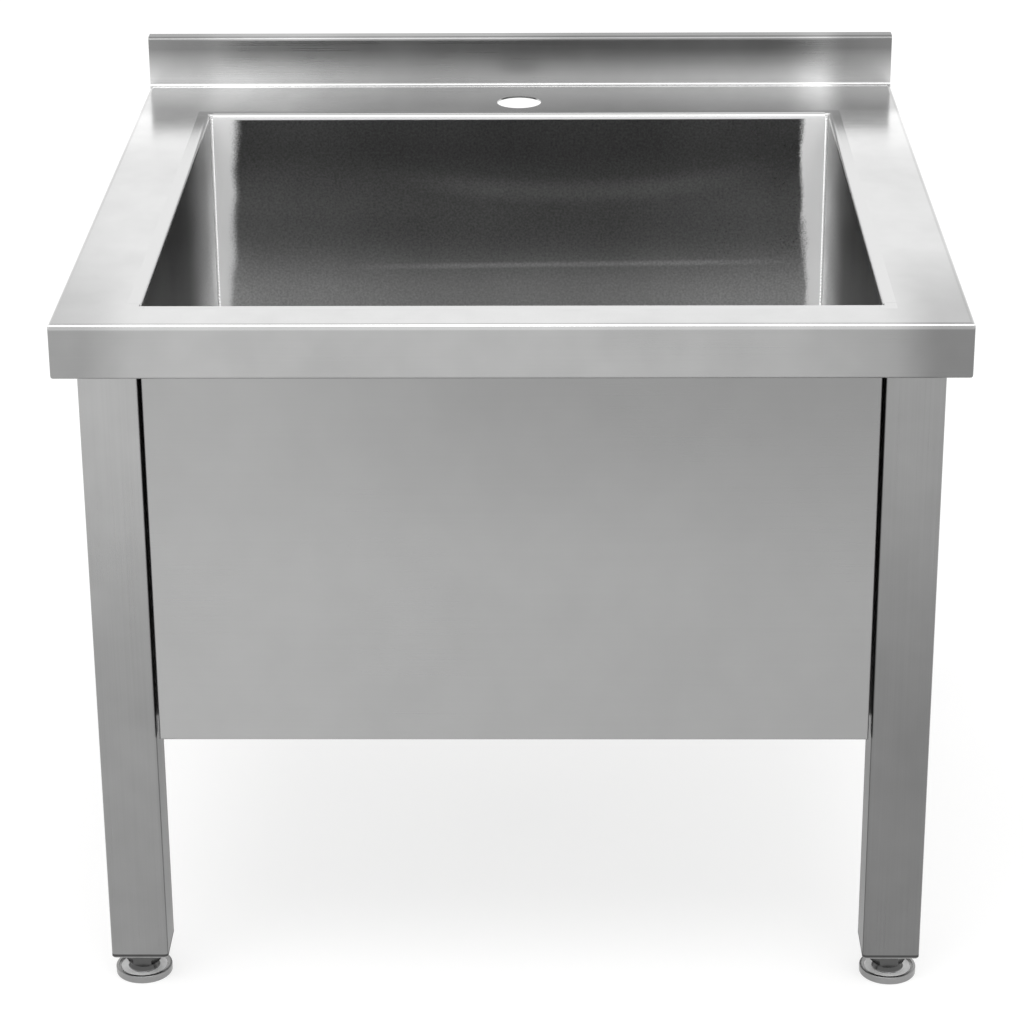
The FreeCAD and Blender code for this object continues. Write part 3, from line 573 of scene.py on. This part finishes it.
rail_low, rail_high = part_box("right_rail")
rear_low, rear_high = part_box("rear_rail")
welds = []
for side in (-1, 1):
    for x in (rail_low[0], rail_high[0]):
        for y in (rail_low[1], rail_high[1]):
            welds.append([(side * x, y, rail_low[2] + WELD_FOOT), (side * x, y, rail_high[2] - WELD_HEAD)])
    for y in (rear_low[1], rear_high[1]):
        x = side * rear_high[0]
        welds.append([(x, y, rear_low[2] + WELD_FOOT), (x, y, rear_high[2] - WELD_HEAD)])
bowl_low, bowl_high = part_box("bowl")
bowl_weld = bowl_high[2] - BOWL_WELD_DROP
for y in (bowl_low[1], bowl_high[1]):
    welds.append([(-BOWL_WELD_REACH, y, bowl_weld), (BOWL_WELD_REACH, y, bowl_weld)])
weld_sizes = {"Width": WELD_WIDTH, "Spacing": WELD_SPACING, "Finish": weld.material}
weld_mesh = grown("weld_beads", weld_tree(), weld_sizes, lines_mesh("weld_lines", welds))
flat_piece("weld_beads", weld_mesh, "root", weld.material)

# Aprons: shallow pans folded from 1 mm sheet, set flush between the legs on three sides, with their top
# flanges against the deck's underside. Their sheet is finer and more matt than the deck's.
APRON_TONE = 0.378
APRON_GLOSS = 0.3
# Painted shadow under the rim: its share at the left end.
SHADOW_LEFT = 0.35


def shade_apron(finish, light, gloss):
    """Painted shade: a touch darker towards the right, and a painted shadow under the middle of the rim."""
    to_right = finish.spread(finish.across, gives=(1.0, 0.86), over=(-0.24, 0.24), soft=True)
    under_rim = finish.spread(finish.height, gives=(0.0, 0.18), over=(0.3, 0.46), soft=True)
    inner = finish.spread(finish.across, gives=(0.0, 1.0), over=(-0.22, 0.0), soft=True)
    shadow = finish.product(under_rim, finish.towards(SHADOW_LEFT, 1.0, inner))
    return finish.product(light, to_right, finish.math("SUBTRACT", 1.0, shadow)), gloss


apron_steel = satin_steel(
    "apron_steel", APRON_TONE, APRON_GLOSS, streak=0.012, cloud=4.0, vary=0.025, shade=shade_apron
)
for side in ("front", "left", "right"):
    dress(f"{side}_apron", apron_steel)

# Legs: 40 mm square stainless tube in 1.5 mm wall, with its seam dressed away, ground along its length. The
# sides that face each other carry painted shade for the shade of the bowl, and each leg carries painted shade
# towards its foot and to the right.
ALONG_Z = (900.0, 900.0, 5.0)
LEG_TONE = 0.36
LEG_GLOSS = 0.3
LEG_INSIDE = 0.245
LEG_FACE = (LEG_INSIDE + 0.0002, LEG_INSIDE + 0.0007)
LEG_AT = 0.265
CORNERS = {
    "front_left": (-LEG_AT, -LEG_AT),
    "front_right": (LEG_AT, -LEG_AT),
    "rear_left": (-LEG_AT, LEG_AT),
    "rear_right": (LEG_AT, LEG_AT),
}


def shade_leg(finish, light, gloss):
    """Painted shade: darker towards the foot and to the right, and on the sides that face each other."""
    to_right = finish.spread(finish.across, gives=(1.07, 0.77), over=(-0.27, 0.27))
    upper = finish.spread(finish.height, gives=(0.68, 1.0), over=(0.2, 0.43), soft=True)
    aside = finish.math("ABSOLUTE", finish.across)
    facing = finish.spread(aside, gives=(0.36, 1.0), over=LEG_FACE)
    return finish.product(light, to_right, upper, facing), gloss


leg_steel = satin_steel("leg_steel", LEG_TONE, LEG_GLOSS, grain=ALONG_Z, streak=0.03, shade=shade_leg)
for corner in CORNERS:
    dress(f"{corner}_leg", leg_steel)

# Leg plugs: grey moulded plastic inserts pressed into the tubes' ends, with a flange under the tube and a
# threaded boss for the foot's screw. Above its seat the plug is painted nearly black as painted shade under
# the tube.
PLUG_TONE = 0.3
PLUG_SEAT = (0.0218, 0.0222)
plug = Finish("plug_plastic")
plug_mottle = plug.noise(scale=(120.0, 120.0, 120.0))
plug_grain = plug.noise(scale=(2500.0, 2500.0, 2500.0), detail=2.0)
plug_mottled = plug.total(PLUG_TONE, plug.spread(plug_mottle, gives=(-0.02, 0.02)))
# Painted shade: the plug nearly black above its seat.
plug_painted_shade = plug.spread(plug.height, gives=(1.0, 0.1), over=PLUG_SEAT)
plug.drive(
    Base_Color=plug.grey(plug.product(plug_mottled, plug_painted_shade)),
    Roughness=plug.spread(plug_grain, gives=(0.42, 0.58)),
)
plug.bump(plug_grain, distance=0.00002)
for corner in CORNERS:
    dress(f"{corner}_plug", plug.material)

# Rails: channels folded from 1.5 mm mill-finish sheet, welded between the legs at each side and at the rear.
# The rear one lies lower, to leave room for a tap's nut.
rail_steel = satin_steel("rail_steel", tone=0.5, roughness=0.36, grain=(220.0, 220.0, 220.0), streak=0.05)
for name in ("left_rail", "right_rail", "rear_rail"):
    dress(name, rail_steel)

# Feet: a bright turned pad with a raised rim, and an M12 stainless screw with an adjusting hexagon, whose
# plain neck turns in the pad. The screw winds into the plug's boss. The pad's boss and the screw above it are
# painted dark as painted shade under the leg, and the pad's dish is painted pale as a painted reflection.
SAME_PLACE = 1e-7
SIDE_PARTS = 2.2
TURNED_EDGE = math.radians(40)
PAD_ROUND = 0.0006
PAD_PROFILE = [
    (0.0, 0.0), (0.0196, 0.0), (0.020, 0.0006), (0.020, 0.0049), (0.0196, 0.0055), (0.0174, 0.0055),
    (0.0162, 0.0043), (0.0112, 0.0043), (0.0088, 0.0085), (0.00505, 0.0085), (0.00505, 0.003), (0.0, 0.003),
]
NECK = 0.005
NECK_FOOT = 0.00305
HEX_HALF = 0.011
HEX_OUT = 0.012
HEX_LOW = 0.0089
HEX_HIGH = 0.0189
SCREW_TOP = 0.0649
SCREW_CREST = 0.006
SCREW_CORE = 0.0052
SCREW_PITCH = 0.00175
SCREW_POINT = SCREW_CORE - 0.0008
POINT_DROP = 0.0006
THREAD_TUCK = 0.0004
THREAD_FLANK = (0.06, 0.44)
AT_END = 1e-6
SCREW_ROWS = 158
SCREW_AROUND = 32
HEX_SIDE = math.pi / 3
HALF_SIDE = math.pi / 6
PAD_TONE = 0.28
# Painted shade: the dark tone of the pad's boss and the screw above it.
STEM_PAINTED_SHADE = 0.1
# Painted reflection: the pale, little metallic dish of the pad.
DISH_PAINTED_REFLECTION = 0.92
DISH_METAL = 0.2
DISH_MATT = 0.3
TURNING_LINES = 3500.0
TURNING_RISE = 0.7


def softened(points, radius=0.0004, steps=3):
    """An open profile of (radius, height) points with every corner between its ends rounded."""
    ends = [Vector(point) for point in points]
    out = [ends[0]]
    for before, corner, after in zip(ends, ends[1:], ends[2:]):
        back = before - corner
        forth = after - corner
        reach = min(radius, back.length / SIDE_PARTS, forth.length / SIDE_PARTS)
        start = corner + back.normalized() * reach
        end = corner + forth.normalized() * reach
        for i in range(steps + 1):
            share = i / steps
            out.append(start.lerp(corner, share).lerp(corner.lerp(end, share), share))
    out.append(ends[-1])
    return out


def lathe(mesh_name, profile, x, y, around=64, outline=None):
    """A closed turned mesh from a profile that starts and ends on the axis, or that closes on itself.

    An outline, where it is given, widens each ring by angle, as on a hexagon.
    """
    build = bmesh.new()
    rings = []
    for radius, height in profile:
        if radius < SAME_PLACE:
            rings.append([build.verts.new((x, y, height))])
            continue
        ring = []
        for i in range(around):
            angle = 2 * math.pi * i / around
            wide, z = outline(radius, height, angle) if outline else (radius, height)
            ring.append(build.verts.new((x + wide * math.cos(angle), y + wide * math.sin(angle), z)))
        rings.append(ring)
    if len(rings[0]) > 1:
        rings.append(rings[0])
    for low, high in zip(rings, rings[1:]):
        for i in range(around):
            j = (i + 1) % around
            if len(low) == 1:
                build.faces.new((low[0], high[j], high[i]))
            elif len(high) == 1:
                build.faces.new((low[i], low[j], high[0]))
            else:
                build.faces.new((low[i], low[j], high[j], high[i]))
    bmesh.ops.recalc_face_normals(build, faces=build.faces)
    mesh = bpy.data.meshes.new(mesh_name)
    build.to_mesh(mesh)
    build.free()
    mesh.shade_smooth()
    mesh.set_sharp_from_angle(angle=TURNED_EDGE)
    return mesh


def joined(name, meshes):
    """Several meshes as one."""
    build = bmesh.new()
    for mesh in meshes:
        build.from_mesh(mesh)
    whole = bpy.data.meshes.new(name)
    build.to_mesh(whole)
    build.free()
    return whole


def thread_tree():
    """A helical thread round an upright axis, from a core radius to a crest, with its ends tapered away."""
    numbers = ["Centre X", "Centre Y", "Bottom", "Top", "Core", "Crest", "Pitch"]
    growth = Growth("screw_thread", numbers, ["Rows", "Around"])
    given = growth.given
    length = growth.math("SUBTRACT", given["Top"], given["Bottom"])
    cylinder = {"Vertices": given["Around"], "Side Segments": given["Rows"], "Radius": 1.0, "Depth": length}
    tube = growth.node("GeometryNodeMeshCylinder", cylinder, fill_type="NONE")[0]
    spot = growth.node("ShaderNodeSeparateXYZ", {0: growth.node("GeometryNodeInputPosition")[0]})
    height = growth.math("ADD", spot[2], growth.math("MULTIPLY", length, 0.5))
    angle = growth.math("ARCTAN2", spot[1], spot[0])
    risen = growth.math("DIVIDE", height, given["Pitch"])
    turns = growth.math("SUBTRACT", risen, growth.math("DIVIDE", angle, math.tau))
    flank = growth.ramp(growth.math("PINGPONG", turns, 0.5), *THREAD_FLANK)
    to_end = growth.math("MINIMUM", height, growth.math("SUBTRACT", length, height))
    taper = growth.ramp(to_end, 0.0, given["Pitch"])
    rise = growth.math("MULTIPLY", growth.math("SUBTRACT", given["Crest"], given["Core"]), flank)
    radius = growth.math("ADD", given["Core"], growth.math("MULTIPLY", rise, taper))
    at_end = growth.math("LESS_THAN", to_end, AT_END)
    tucked = growth.math("SUBTRACT", radius, growth.math("MULTIPLY", at_end, THREAD_TUCK))
    x = growth.math("ADD", given["Centre X"], growth.math("MULTIPLY", tucked, spot[0]))
    y = growth.math("ADD", given["Centre Y"], growth.math("MULTIPLY", tucked, spot[1]))
    z = growth.math("ADD", given["Bottom"], height)
    place = growth.node("ShaderNodeCombineXYZ", {"X": x, "Y": y, "Z": z})[0]
    moved = growth.node("GeometryNodeSetPosition", {"Geometry": tube, "Position": place})[0]
    return growth.finish(growth.node("GeometryNodeSetShadeSmooth", {0: moved})[0])


def hexagon(radius, height, angle):
    """The widening of the screw's middle rings to a hexagon with turned corners."""
    if radius < HEX_HALF - SAME_PLACE:
        return radius, height
    flat = HEX_HALF / math.cos((angle % HEX_SIDE) - HALF_SIDE)
    drop = (flat - HEX_HALF) * math.tan(HALF_SIDE)
    if radius > HEX_HALF + SAME_PLACE:
        return flat, height + (drop if height < (HEX_LOW + HEX_HIGH) / 2 else -drop)
    return HEX_HALF, height


THREAD = thread_tree()
foot = Finish("foot_steel")
off_x = foot.math("SUBTRACT", foot.math("ABSOLUTE", foot.across), LEG_AT)
off_y = foot.math("SUBTRACT", foot.math("ABSOLUTE", foot.along), LEG_AT)
off = foot.math("SQRT", foot.total(foot.product(off_x, off_x), foot.product(off_y, off_y)))
turning = foot.node("ShaderNodeTexNoise", noise_dimensions="1D")
turning.inputs["Scale"].default_value = TURNING_LINES
turning.inputs["Detail"].default_value = 2.0
foot.join(foot.total(off, foot.product(foot.height, TURNING_RISE)), turning.inputs["W"])
dulled = foot.noise(scale=(70.0, 70.0, 70.0))
hub_round = foot.spread(off, gives=(1.0, 0.0), over=(0.0108, 0.0113))
hub_top = foot.spread(foot.height, gives=(0.0, 1.0), over=(0.0045, 0.005))
above_pad = foot.spread(foot.height, gives=(0.0, 1.0), over=(0.0086, 0.0089))
stem = foot.math("MAXIMUM", foot.product(hub_round, hub_top), above_pad)
# Painted reflection: the mask of the pad's dish, painted pale.
dish_inner = foot.spread(off, gives=(0.0, 1.0), over=(0.0111, 0.0116))
dish_outer = foot.spread(off, gives=(1.0, 0.0), over=(0.016, 0.0165))
dish_floor = foot.spread(foot.height, gives=(0.0, 1.0), over=(0.0035, 0.0041))
dish_top = foot.spread(foot.height, gives=(1.0, 0.0), over=(0.0046, 0.005))
dish = foot.product(dish_inner, dish_outer, dish_floor, dish_top)
worn = foot.total(1.0, foot.spread(dulled, gives=(-0.06, 0.06)))
# Painted shade on the boss and screw, painted reflection in the dish.
foot_tone = foot.towards(foot.towards(PAD_TONE, STEM_PAINTED_SHADE, stem), DISH_PAINTED_REFLECTION, dish)
turned_gloss = foot.spread(turning.outputs["Fac"], gives=(0.14, 0.24))
worn_gloss = foot.spread(dulled, gives=(-0.02, 0.05))
foot.drive(
    Base_Color=foot.grey(foot.product(foot_tone, worn), STEEL_TINT),
    Roughness=foot.total(turned_gloss, worn_gloss, foot.product(dish, DISH_MATT)),
    Metallic=foot.towards(1.0, DISH_METAL, dish),
)
foot.bump(turning.outputs["Fac"], distance=0.000006)

shank_profile = [
    (0.0, NECK_FOOT), (NECK, NECK_FOOT), (NECK, HEX_LOW), (HEX_HALF, HEX_LOW), (HEX_OUT, HEX_LOW),
    (HEX_OUT, HEX_HIGH), (HEX_HALF, HEX_HIGH), (SCREW_CORE, HEX_HIGH), (SCREW_CORE, SCREW_TOP - POINT_DROP),
    (SCREW_POINT, SCREW_TOP), (0.0, SCREW_TOP),
]
for corner, (x, y) in CORNERS.items():
    pad = lathe(f"{corner}_pad_turned", softened(PAD_PROFILE, PAD_ROUND), x, y, around=96)
    piece = flat_piece(f"{corner}_pad_turned", pad, f"{corner}_pad", foot.material)
    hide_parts(f"{corner}_foot_pad")

    shank = lathe(f"{corner}_shank", shank_profile, x, y, around=96, outline=hexagon)
    thread_sizes = {
        "Centre X": x, "Centre Y": y, "Bottom": HEX_HIGH, "Top": SCREW_TOP, "Core": SCREW_CORE,
        "Crest": SCREW_CREST, "Pitch": SCREW_PITCH, "Rows": SCREW_ROWS, "Around": SCREW_AROUND,
        "Finish": foot.material,
    }
    thread = grown(f"{corner}_thread", THREAD, thread_sizes)
    whole = joined(f"{corner}_screw", [shank, thread])
    piece = flat_piece(f"{corner}_screw", whole, f"{corner}_stem", foot.material)
    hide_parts(f"{corner}_foot_stem")

# Drain: a bright pressed flange and cup in the bowl's floor, clamped by one screw to a white moulded body
# below, with a rubber gasket on each side of the bowl's sheet.
DRAIN_Y = -0.031
SOCKET_HALF = 0.0023
SOCKET_OUT = 0.0026
OUTLET_LENGTH = 0.026
OUTLET_CREST = 0.0239
OUTLET_CORE = 0.02245
OUTLET_PITCH = 0.002309
MOULDED_TINT = (1.0, 0.995, 0.97)
OUTLET_LEAD = 0.0012
OUTLET_RUNOUT = 0.001
THREAD_FIT = 0.00005
THREAD_SPARE = 0.0005
MERGE_WITHIN = 0.000001
MOULDED_EDGE = math.radians(35)
OUTLET_ROWS = 66
OUTLET_AROUND = 72
RING_RISE = 0.8
FLANGE_SHEET = 0.001
CLAMP_POINT = 0.0024
CLAMP_SHANK = 0.003
POINT_HEIGHT = 0.0008
HEAD_EDGE = 0.0012
HEAD_ROUND = 0.0009
HEAD_CROWN = 0.0003
SOCKET_MOUTH = 0.0033
SOCKET_EDGE = 0.0002
SOCKET_DEEP = 0.0018
SOCKET_POINT = 0.0021


def round_finish(name, tone, gloss, line=2600.0, depth=0.000003):
    """Bright steel pressed and polished on a spindle, with fine rings round the drain's axis."""
    finish = Finish(name)
    aside = finish.math("SUBTRACT", finish.along, DRAIN_Y)
    squares = finish.total(finish.product(finish.across, finish.across), finish.product(aside, aside))
    rings = finish.node("ShaderNodeTexNoise", noise_dimensions="1D")
    rings.inputs["Scale"].default_value = line
    rings.inputs["Detail"].default_value = 3.0
    radius = finish.math("SQRT", squares)
    finish.join(finish.total(radius, finish.product(finish.height, RING_RISE)), rings.inputs["W"])
    clouds = finish.noise(scale=(40.0, 40.0, 40.0))
    ringed = finish.spread(rings.outputs["Fac"], gives=(-0.03, 0.03))
    clouded = finish.spread(clouds, gives=(-0.05, 0.05))
    light = finish.product(tone, finish.total(1.0, ringed), finish.total(1.0, clouded))
    shine = finish.total(gloss, ringed, finish.spread(clouds, gives=(-0.02, 0.05)))
    finish.drive(Base_Color=finish.grey(light, STEEL_TINT), Roughness=shine)
    finish.bump(rings.outputs["Fac"], depth)
    finish.set(Metallic=1.0)
    return finish.material


drain_steel = round_finish("drain_steel", tone=0.66, gloss=0.14)
dress("drain_flange", drain_steel)

rubber = Finish("gasket_rubber")
rubber_dust = rubber.noise(scale=(260.0, 260.0, 260.0))
rubber_skin = rubber.noise(scale=(3000.0, 3000.0, 3000.0), detail=1.0)
rubber.drive(
    Base_Color=rubber.grey(rubber.spread(rubber_dust, gives=(0.018, 0.034))),
    Roughness=rubber.spread(rubber_dust, gives=(0.55, 0.75)),
)
rubber.bump(rubber_skin, distance=0.00003)
for name in ("drain_upper_gasket", "drain_lower_gasket"):
    dress(name, rubber.material)

head_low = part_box("drain_flange")[0][2] + FLANGE_SHEET
screw_low, screw_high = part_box("drain_clamp_screw")
head_half = (screw_high[0] - screw_low[0]) / 2
foot_z = screw_low[2]
head_z = screw_high[2]
clamp_profile = [
    (0.0, foot_z), (CLAMP_POINT, foot_z), (CLAMP_SHANK, foot_z + POINT_HEIGHT), (CLAMP_SHANK, head_low),
    (head_half, head_low), (head_half, head_z - HEAD_EDGE), (head_half - HEAD_ROUND, head_z - HEAD_CROWN),
    (SOCKET_MOUTH, head_z), (SOCKET_OUT, head_z - SOCKET_EDGE), (SOCKET_OUT, head_z - SOCKET_DEEP),
    (0.0, head_z - SOCKET_POINT),
]


def socket_six(radius, height, angle):
    """The widening of the screw head's recess to a hexagon socket."""
    if abs(radius - SOCKET_OUT) < SAME_PLACE:
        return SOCKET_HALF / math.cos((angle % HEX_SIDE) - HALF_SIDE), height
    return radius, height


screw = lathe("clamp_screw_turned", clamp_profile, 0.0, DRAIN_Y, around=48, outline=socket_six)
piece = flat_piece("clamp_screw_turned", screw, "root", drain_steel)
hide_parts("drain_clamp_screw")

moulding = Finish("drain_plastic")
flow = moulding.noise(scale=(35.0, 35.0, 12.0))
pores = moulding.noise(scale=(1800.0, 1800.0, 1800.0), detail=2.0)
moulding.drive(
    Base_Color=moulding.grey(moulding.spread(flow, gives=(0.74, 0.8)), MOULDED_TINT),
    Roughness=moulding.spread(flow, gives=(0.32, 0.42)),
)
moulding.bump(pores, distance=0.00001)
moulding.set(IOR=1.49)

body_copy = nodes["drain_body"].data.copy()
build = bmesh.new()
build.from_mesh(body_copy)
bmesh.ops.remove_doubles(build, verts=build.verts, dist=MERGE_WITHIN)
outlet_low = min(v.co.z for v in build.verts)
outlet_top = outlet_low + OUTLET_LENGTH
for v in build.verts:
    out = math.hypot(v.co.x, v.co.y - DRAIN_Y)
    if abs(out - OUTLET_CREST) < THREAD_FIT and v.co.z < outlet_top + THREAD_SPARE:
        v.co.x *= OUTLET_CORE / out
        v.co.y = DRAIN_Y + (v.co.y - DRAIN_Y) * OUTLET_CORE / out
build.to_mesh(body_copy)
build.free()
body_copy.shade_smooth()
body_copy.set_sharp_from_angle(angle=MOULDED_EDGE)
outlet_sizes = {
    "Centre X": 0.0, "Centre Y": DRAIN_Y, "Bottom": outlet_low + OUTLET_LEAD,
    "Top": outlet_top - OUTLET_RUNOUT, "Core": OUTLET_CORE, "Crest": OUTLET_CREST, "Pitch": OUTLET_PITCH,
    "Rows": OUTLET_ROWS, "Around": OUTLET_AROUND, "Finish": moulding.material,
}
outlet_thread = grown("outlet_thread", THREAD, outlet_sizes)
whole = joined("drain_body_moulded", [body_copy, outlet_thread])
piece = flat_piece("drain_body_moulded", whole, "root", moulding.material)
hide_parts("drain_body")

# Basket: a pierced strainer in thin bright sheet with its edge rolled over, lifted by a turned post and knob,
# and stopped below by a rubber ring that is held under its floor.
ROLL = 0.0009
ROLL_STEPS = 12
ROLL_IN = 0.0004
ROLL_UP = 0.0001
POST = 0.003
POST_FOOT = 0.0045
POST_FLARE = 0.0014
KNOB_TOP = 0.0052
KNOB_GROOVE = 0.0005
KNOB_ROUND = 0.0007
SEAL_BORE = 0.0095
SEAL_LIP = 0.0007
LIP_IN = 0.002
LIP_WIDE = 0.004
SEAL_ROUND = 0.0006

basket_steel = round_finish("basket_steel", tone=0.68, gloss=0.16)
dress("basket", basket_steel)
basket_low, basket_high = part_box("basket")
roll_radius = (basket_high[0] - basket_low[0]) / 2 - ROLL_IN
roll_z = basket_high[2] + ROLL_UP
roll_turns = [2 * math.pi * i / ROLL_STEPS for i in range(ROLL_STEPS)]
roll_profile = [(roll_radius + ROLL * math.cos(a), roll_z + ROLL * math.sin(a)) for a in roll_turns]
rolled = lathe("basket_rolled_edge", roll_profile, 0.0, DRAIN_Y, around=120)
flat_piece("basket_rolled_edge", rolled, "basket", basket_steel)

handle_low, handle_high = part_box("basket_handle")
knob = (handle_high[0] - handle_low[0]) / 2
top = handle_high[2]
knob_profile = [
    (0.0, handle_low[2]), (POST_FOOT, handle_low[2]), (POST, handle_low[2] + POST_FLARE),
    (POST, top - 0.0062), (KNOB_TOP, top - 0.006), (knob, top - 0.0045), (knob, top - 0.0038),
    (knob - KNOB_GROOVE, top - 0.0034), (knob, top - 0.003), (knob, top - 0.0014), (KNOB_TOP, top),
    (0.0, top),
]
handle = lathe("basket_knob_turned", softened(knob_profile, KNOB_ROUND), 0.0, DRAIN_Y, around=72)
piece = flat_piece("basket_knob_turned", handle, "basket", basket_steel)
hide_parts("basket_handle")

seal_low, seal_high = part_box("basket_seal")
seal_out = (seal_high[0] - seal_low[0]) / 2
lip_z = seal_low[2] + SEAL_LIP
seal_profile = [
    (SEAL_BORE, lip_z), (SEAL_BORE + LIP_IN, seal_low[2]), (SEAL_BORE + LIP_WIDE, lip_z),
    (seal_out - LIP_WIDE, lip_z), (seal_out - LIP_IN, seal_low[2]), (seal_out, lip_z),
    (seal_out, seal_high[2]), (SEAL_BORE, seal_high[2]),
]
seal = lathe("basket_seal_moulded", softened(seal_profile, SEAL_ROUND), 0.0, DRAIN_Y, around=96)
piece = flat_piece("basket_seal_moulded", seal, "basket", rubber.material)
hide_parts("basket_seal")
